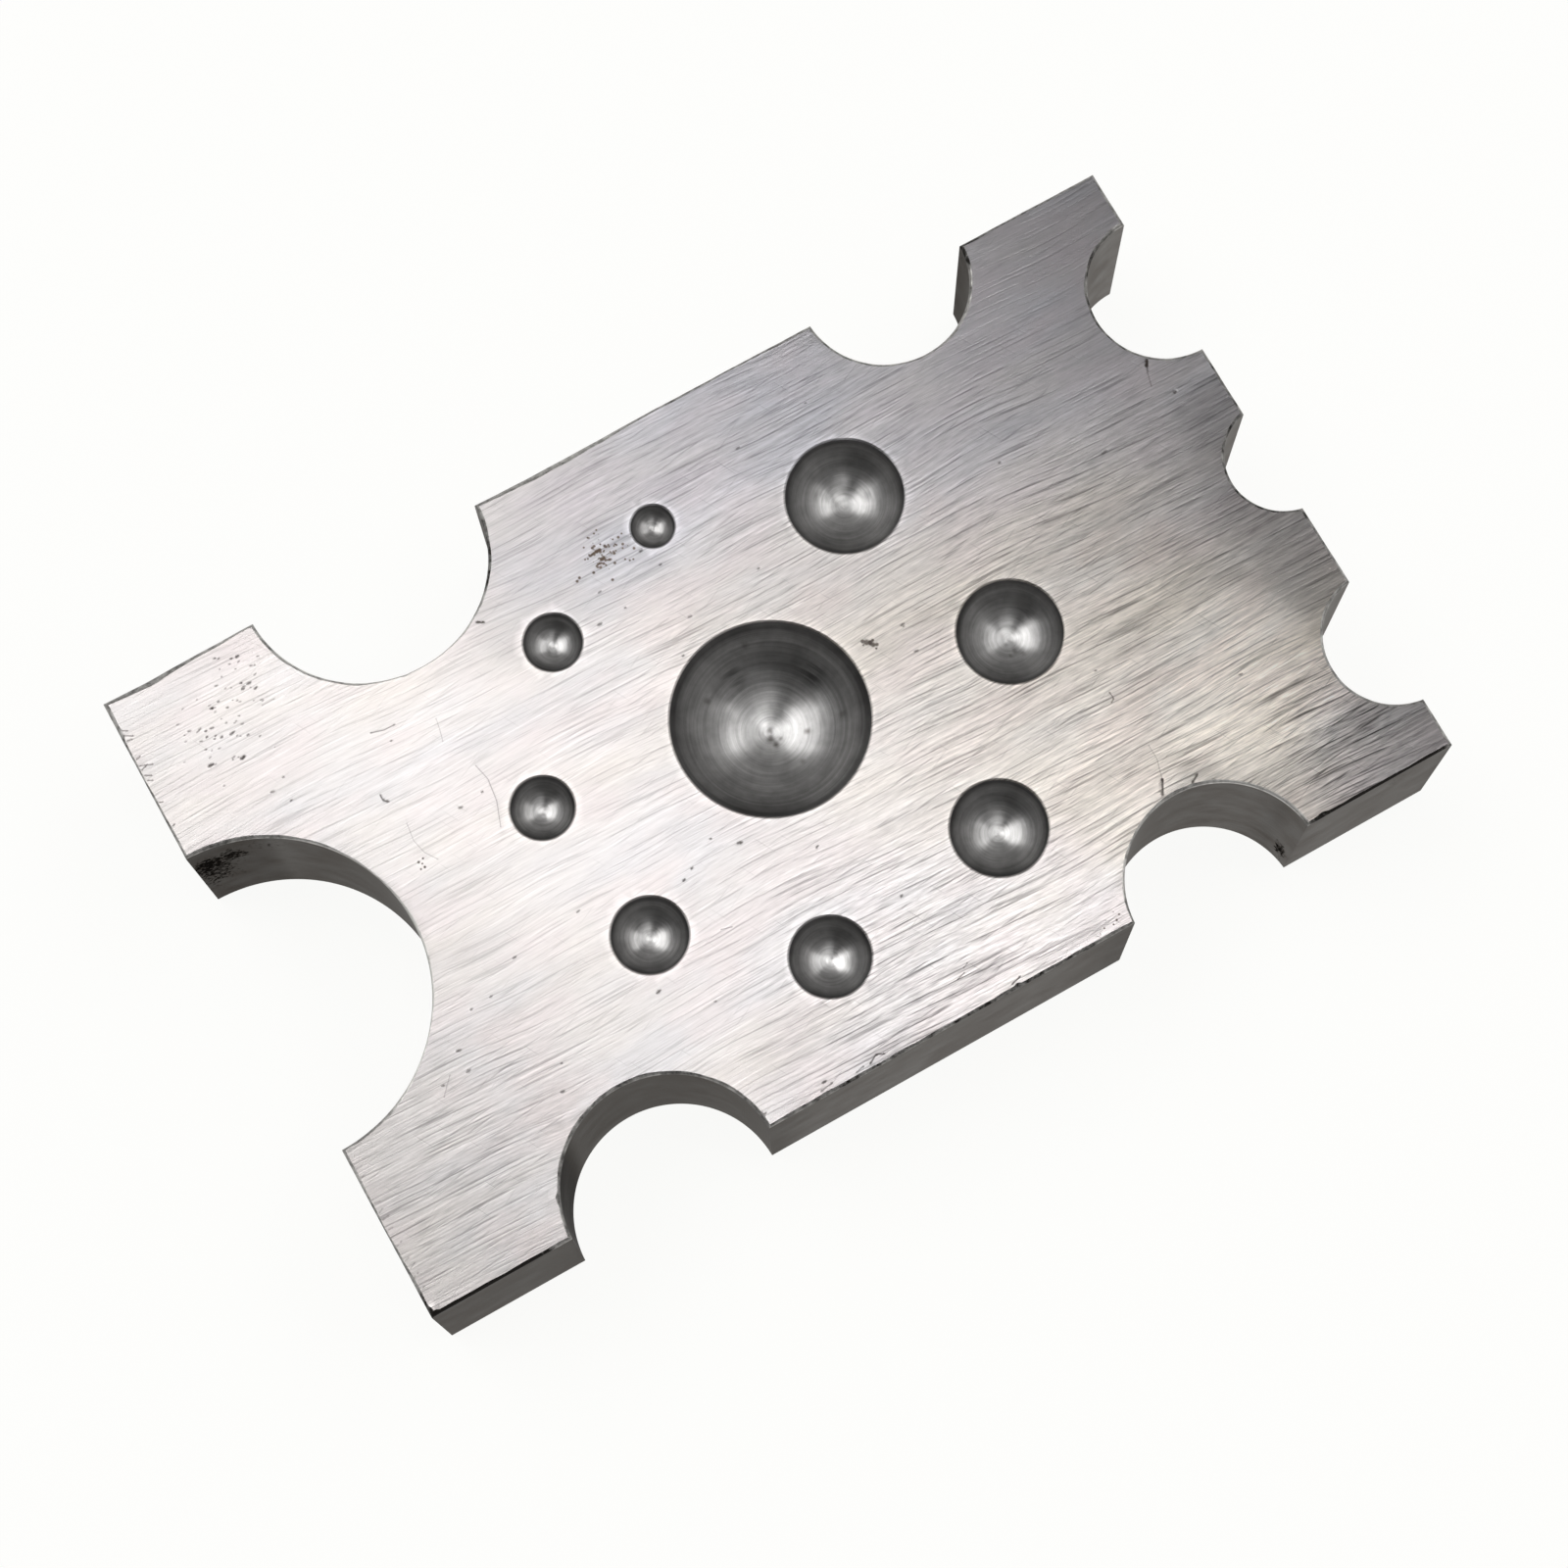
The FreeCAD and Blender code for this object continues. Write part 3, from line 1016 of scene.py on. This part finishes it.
def ground_steel(name, base, roughness, anisotropy):
    """Steel ground lengthwise: fine wavy lines, darker and brighter, crossed by stray scratches."""
    tree = Tree(bpy.data.materials.new(name))
    place = tree.place()
    drift = tree.noise(place, DRIFT, detail=1.0)
    shift = tree.times(tree.math("SUBTRACT", drift.outputs[0], 0.5), 1.6)
    bend = tree.add("CombineXYZ", {"Y": shift})
    bent = tree.add("VectorMath", {0: place, 1: bend}, operation="ADD")

    fine = tree.noise(bent, FINE, detail=1.5, roughness=0.5)
    finest = tree.noise(bent, FINEST_LINES, turn=1.5)
    medium = tree.noise(bent, MEDIUM, turn=1.2)
    broad = tree.noise(bent, BROAD, turn=-1.0)
    spread = tree.noise(bent, SPREAD, turn=-0.8)
    bright = tree.ramp(tree.noise(bent, BRIGHT, 1.0, 0.5, -1.2), 0.6, 0.72)
    scores = tree.ramp(tree.noise(bent, SCORES, 1.0, 0.5, 1.8), 0.57, 0.67)
    strays = tree.ramp(tree.noise(place, STRAYS, 1.0, 0.5, -6.0), 0.62, 0.72)
    crossing = tree.ramp(tree.noise(place, CROSSING, 1.0, 0.5, 62.0), 0.69, 0.78)
    slanting = tree.ramp(tree.noise(place, SLANTING, 1.0, 0.5, -24.0), 0.68, 0.78)

    coarse = tree.attribute("coarse")
    dark = tree.attribute("dark")
    rust = tree.attribute("rust")
    grooves = tree.plus(tree.plus(scores, strays, 0.8), crossing, 0.45)
    grooves = tree.plus(grooves, slanting, 0.5, clamp=True)

    height = tree.plus(tree.plus(fine, medium, 0.5), broad, 0.6)
    height = tree.math("SUBTRACT", height, tree.times(grooves, 0.6))
    height = tree.times(height, tree.ramp(coarse, 0.0, 1.0, 0.65, 1.7))

    tint = tree.ramp(tree.noise(bent, TINT), 0.36, 0.64)
    pink = tree.ramp(tree.noise(place, PINK), 0.45, 0.65)
    colour = tree.mix(tint, grey(base, 1.05, 1.0, 0.95), grey(base, 1.01, 0.99, 0.985))
    colour = tree.mix(pink, colour, grey(base, 1.045, 0.98, 0.96))
    lines = tree.math("ADD", tree.ramp(fine, 0.32, 0.68, -1.0, 1.0),
                      tree.ramp(finest, 0.32, 0.68, -0.85, 0.85))
    lines = tree.math("ADD", lines, tree.level(medium, -0.35, 0.35))
    lines = tree.times(lines, tree.ramp(coarse, 0.0, 1.0, 0.05, 0.44))
    shade = tree.math("ADD", lines, 1.0)
    shade = tree.math("ADD", shade, tree.level(broad, -0.04, 0.04))
    grooved = tree.times(grooves, tree.ramp(coarse, 0.0, 1.0, 0.18, 0.85))
    # The shade also takes in the face's painted light and shade
    shade = tree.times(shade, tree.math("SUBTRACT", 1.0, grooved),
                       tree.ramp(bright, 0.0, 1.0, 1.0, 1.14), tree.attribute("painted_light"))
    warmth = tree.mix(tree.attribute("warmth"), COOL_TINT, WARM_TINT)
    colour = tree.add("VectorMath", {0: colour, 1: warmth}, operation="MULTIPLY")
    scaled = tree.add("VectorMath", {0: colour, "Scale": shade}, operation="SCALE")
    colour = tree.mix(rust, scaled, RUST_COLOUR)
    colour = tree.mix(dark, colour, MARK_COLOUR)
    satin = tree.plus(tree.level(spread, roughness - 0.003, roughness + 0.015), dark, 0.25)
    lay = tree.add("Tangent", direction_type="UV_MAP", uv_map="lay")
    tree.set(Base_Color=colour, Metallic=1.0, Roughness=satin, Anisotropic=anisotropy,
             Anisotropic_Rotation=0.25, Tangent=lay, Normal=tree.bump(height, 0.01))
    return tree.owner


def turned_steel():
    """The cups: dark steel, turned in rings."""
    tree = Tree(bpy.data.materials.new("turned_steel"))
    turn = tree.attribute("turn", "Vector")
    rings = tree.noise(turn, (0.5, 0.5, 4.2), roughness=0.6)
    wide = tree.noise(turn, (0.9, 0.9, 1.1))
    place = tree.place()
    cloud = tree.noise(place, (0.55, 0.55, 0.55), detail=4.0)
    height = tree.plus(tree.times(rings, 0.6), wide, 0.8)
    ribs = tree.ramp(tree.noise(turn, (1.2, 1.2, 2.6), detail=1.0), 0.42, 0.58)
    chatter = tree.times(tree.attribute("chatter"), ribs)
    # The shade takes in the cups' painted shade near the rim and painted highlight at the pole
    shade = tree.times(tree.level(rings, 0.8, 1.14), tree.level(cloud, 0.76, 1.16),
                       tree.attribute("painted_light"), tree.ramp(chatter, 0.0, 1.0, 1.0, 0.45))
    colour = tree.add("VectorMath", {0: CUP_COLOUR, "Scale": shade}, operation="SCALE")
    colour = tree.mix(tree.attribute("dark"), colour.outputs[0], MARK_COLOUR)
    lay = tree.add("Tangent", direction_type="UV_MAP", uv_map="lay")
    tree.set(Base_Color=colour, Metallic=1.0, Roughness=tree.level(wide, 0.282, 0.31),
             Anisotropic=0.65, Anisotropic_Rotation=0.25, Tangent=lay,
             Normal=tree.bump(height, 0.014))
    return tree.owner


def satin_steel():
    """The sides: duller steel with a brownish bloom, darkened by painted shade for the dark
    surroundings that the sides reflect.
    """
    tree = Tree(bpy.data.materials.new("satin_steel"))
    place = tree.place()
    grain = tree.noise(place, (0.25, 0.25, 7.0))
    cloud = tree.noise(place, (0.3, 0.3, 0.45), detail=4.0, roughness=0.6)
    mottle = tree.noise(place, (3.0, 3.0, 3.0), detail=3.0, roughness=0.6)
    dark = tree.attribute("dark")
    patch = tree.ramp(tree.math("ADD", dark, tree.level(mottle, -0.5, 0.5)), 0.45, 0.85)
    colour = tree.mix(tree.level(cloud), *WALL_COLOURS_WITH_SHADE)
    # The shade takes in the walls' painted light and shade
    shade = tree.times(tree.level(grain, 0.93, 1.05), tree.attribute("painted_light"))
    scaled = tree.add("VectorMath", {0: colour, "Scale": shade}, operation="SCALE")
    colour = tree.mix(patch, scaled, WALL_MARK_COLOUR)
    height = tree.plus(grain, mottle, 0.5)
    tree.set(Base_Color=colour, Metallic=1.0, Roughness=tree.level(cloud, 0.4, 0.5),
             Specular_Tint=WALL_TINT_WITH_SHADE, Normal=tree.bump(height, 0.006))
    return tree.owner


def worn_and_shaded_edge():
    """The edge breaks: grey where they are rubbed bare, nearly black where grime has stayed, and
    darkened by painted shade where they reflect dark surroundings.
    """
    tree = Tree(bpy.data.materials.new("worn_and_shaded_edge"))
    place = tree.place()
    speckle = tree.noise(place, (1.3, 1.3, 1.3), detail=3.0, roughness=0.65)
    grime_and_shade = tree.attribute("grime_and_shade")
    amount = tree.math("ADD", grime_and_shade, tree.level(speckle, -0.35, 0.35), clamp=True)
    colour = tree.mix(amount, BARE_EDGE_COLOUR, GRIME_AND_SHADE_EDGE_COLOUR)
    tree.set(Base_Color=colour, Metallic=1.0, Roughness=tree.ramp(amount, 0.0, 1.0, 0.32, 0.6),
             Normal=tree.bump(speckle, 0.03))
    return tree.owner


def add_block():
    block = add_object("dapping_block_steel", block_mesh())
    finishes = [ground_steel("ground_steel", *FACE_FINISH), turned_steel(), satin_steel(),
                worn_and_shaded_edge(), ground_steel("ground_underside", *UNDERSIDE_FINISH)]
    for finish in finishes:
        block.data.materials.append(finish)
    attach(block, "root")
    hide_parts("dapping_block")


# The floor: how far it reaches each way from the middle, its colour, and the plain glow that is
# this share of what is seen of it
FLOOR_REACH = 3.0
FLOOR_COLOUR = (0.92, 0.92, 0.91, 1)
FLOOR_GLOW_COLOUR = (1.0, 1.0, 0.985, 1)
FLOOR_GLOW_SHARE = 0.93


def add_floor():
    mesh = bpy.data.meshes.new("floor")
    size = FLOOR_REACH
    corners = [(-size, -size, 0), (size, -size, 0), (size, size, 0), (-size, size, 0)]
    mesh.from_pydata(corners, [], [(0, 1, 2, 3)])
    floor = add_object("floor", mesh)
    tree = Tree(bpy.data.materials.new("pale_floor"))
    tree.set(Base_Color=FLOOR_COLOUR, Roughness=0.8)
    glow = tree.add("Emission", {"Color": FLOOR_GLOW_COLOUR, "Strength": 1.0})
    path = tree.add("LightPath")
    seen = tree.math("MAXIMUM", path.outputs["Is Camera Ray"], path.outputs["Is Glossy Ray"])
    seen = tree.math("MAXIMUM", seen, path.outputs["Is Transmission Ray"])
    share = tree.times(seen, FLOOR_GLOW_SHARE)
    mixed = tree.add("MixShader", {0: share, 1: tree.shader.outputs[0], 2: glow})
    tree.links.new(mixed.outputs[0], tree.nodes["Material Output"].inputs["Surface"])
    mesh.materials.append(tree.owner)


# The studio's axes, seen from the camera: right and up across the picture, and up from the floor
STUDIO_RIGHT = Vector((0.871, -0.491, 0.0))
STUDIO_UP = Vector((0.491, 0.871, 0.0))
STUDIO_HEIGHT = 2.5

# The soft lights: name, how far right and up of straight overhead for each metre of height,
# length, breadth, radiance, and how many degrees the length leans from the picture's level
LIGHTS = [
    ("overhead_strip", 0.02, 0.18, 1.0, 0.12, 12.9, -19.5),
    ("front_panel", 0.13, -0.21, 1.34, 0.71, 1.7, 46.0),
    ("left_panel", -0.55, 0.26, 2.16, 1.42, 4.0, 90.0),
    ("right_panel", 0.63, 0.32, 2.28, 0.82, 3.2, 90.0),
]


def add_soft_light(name, right, up, length, breadth, radiance, lean):
    """A soft light that faces the block."""
    way = STUDIO_RIGHT * right + STUDIO_UP * up + Vector((0, 0, 1))
    back = way.normalized()
    slant = math.radians(lean)
    level = STUDIO_RIGHT * math.cos(slant) + STUDIO_UP * math.sin(slant)
    across = back.cross(level).normalized()
    along = across.cross(back)
    data = bpy.data.lights.new(name, "AREA")
    data.shape = "RECTANGLE"
    data.size = length
    data.size_y = breadth
    data.energy = radiance * math.pi * length * breadth
    light = add_object(name, data)
    basis = Matrix((along, across, back)).transposed().to_4x4()
    light.matrix_world = Matrix.Translation(way * STUDIO_HEIGHT) @ basis


# The studio round the block: how bright it is at the horizon, halfway up and overhead,
# and how much it gains halfway up towards the top and the right of the picture
HORIZON_LEVEL = 0.55
MIDDLE_LEVEL = 0.28
MIDDLE_UPWARD = 0.21
MIDDLE_RIGHTWARD = 0.19
ZENITH_LEVEL = 0.05
MIDDLE_STARTS = (0.12, 0.5)
ZENITH_STARTS = (0.78, 0.96)
STUDIO_COLOUR = (1.0, 0.99, 0.98, 1.0)


def add_world():
    world = bpy.data.worlds.new("studio")
    bpy.context.scene.world = world
    tree = Tree(world)
    way = tree.add("TexCoord").outputs["Generated"]

    def along(direction):
        node = tree.add("VectorMath", {0: way, 1: direction}, operation="DOT_PRODUCT")
        return node.outputs["Value"]

    def blend(limits, low, high):
        height = along(Vector((0, 0, 1)))
        rise = tree.add("MapRange", {"Value": height, "From Min": limits[0], "From Max": limits[1]},
                        interpolation_type="SMOOTHSTEP")
        return tree.add("Mix", {0: rise, 2: low, 3: high})

    middle = tree.math("ADD", along(STUDIO_UP * MIDDLE_UPWARD),
                       along(STUDIO_RIGHT * MIDDLE_RIGHTWARD))
    level = blend(MIDDLE_STARTS, HORIZON_LEVEL, tree.math("ADD", middle, MIDDLE_LEVEL))
    level = blend(ZENITH_STARTS, level, ZENITH_LEVEL)
    tree.feed(tree.nodes["Background"].inputs["Strength"], level)
    tree.feed(tree.nodes["Background"].inputs["Color"], STUDIO_COLOUR)


# The photograph's camera, high over the front left and looking almost straight down:
# where it is, the way of the picture's right and down, the way that it looks, and its lens
CAMERA_PLACE = Vector((-32.517, -65.812, 293.563))
CAMERA_RIGHT = Vector((0.871169, -0.490844, -0.011661))
CAMERA_DOWN = Vector((-0.479101, -0.844655, -0.238788))
CAMERA_FORWARD = Vector((0.107358, 0.213612, -0.971002))
SENSOR_WIDTH = 36.0
FOCAL_LENGTH = 81.318


def add_camera():
    data = bpy.data.cameras.new("camera")
    data.sensor_width = SENSOR_WIDTH
    data.lens = FOCAL_LENGTH
    data.clip_start = 0.01
    camera = add_object("camera", data)
    basis = Matrix((CAMERA_RIGHT, -CAMERA_DOWN, -CAMERA_FORWARD)).transposed().to_4x4()
    camera.matrix_world = Matrix.Translation(CAMERA_PLACE * MM) @ basis
    bpy.context.scene.camera = camera


add_block()
add_floor()
add_world()
for soft_light in LIGHTS:
    add_soft_light(*soft_light)
add_camera()
bpy.context.scene.view_settings.view_transform = "Standard"
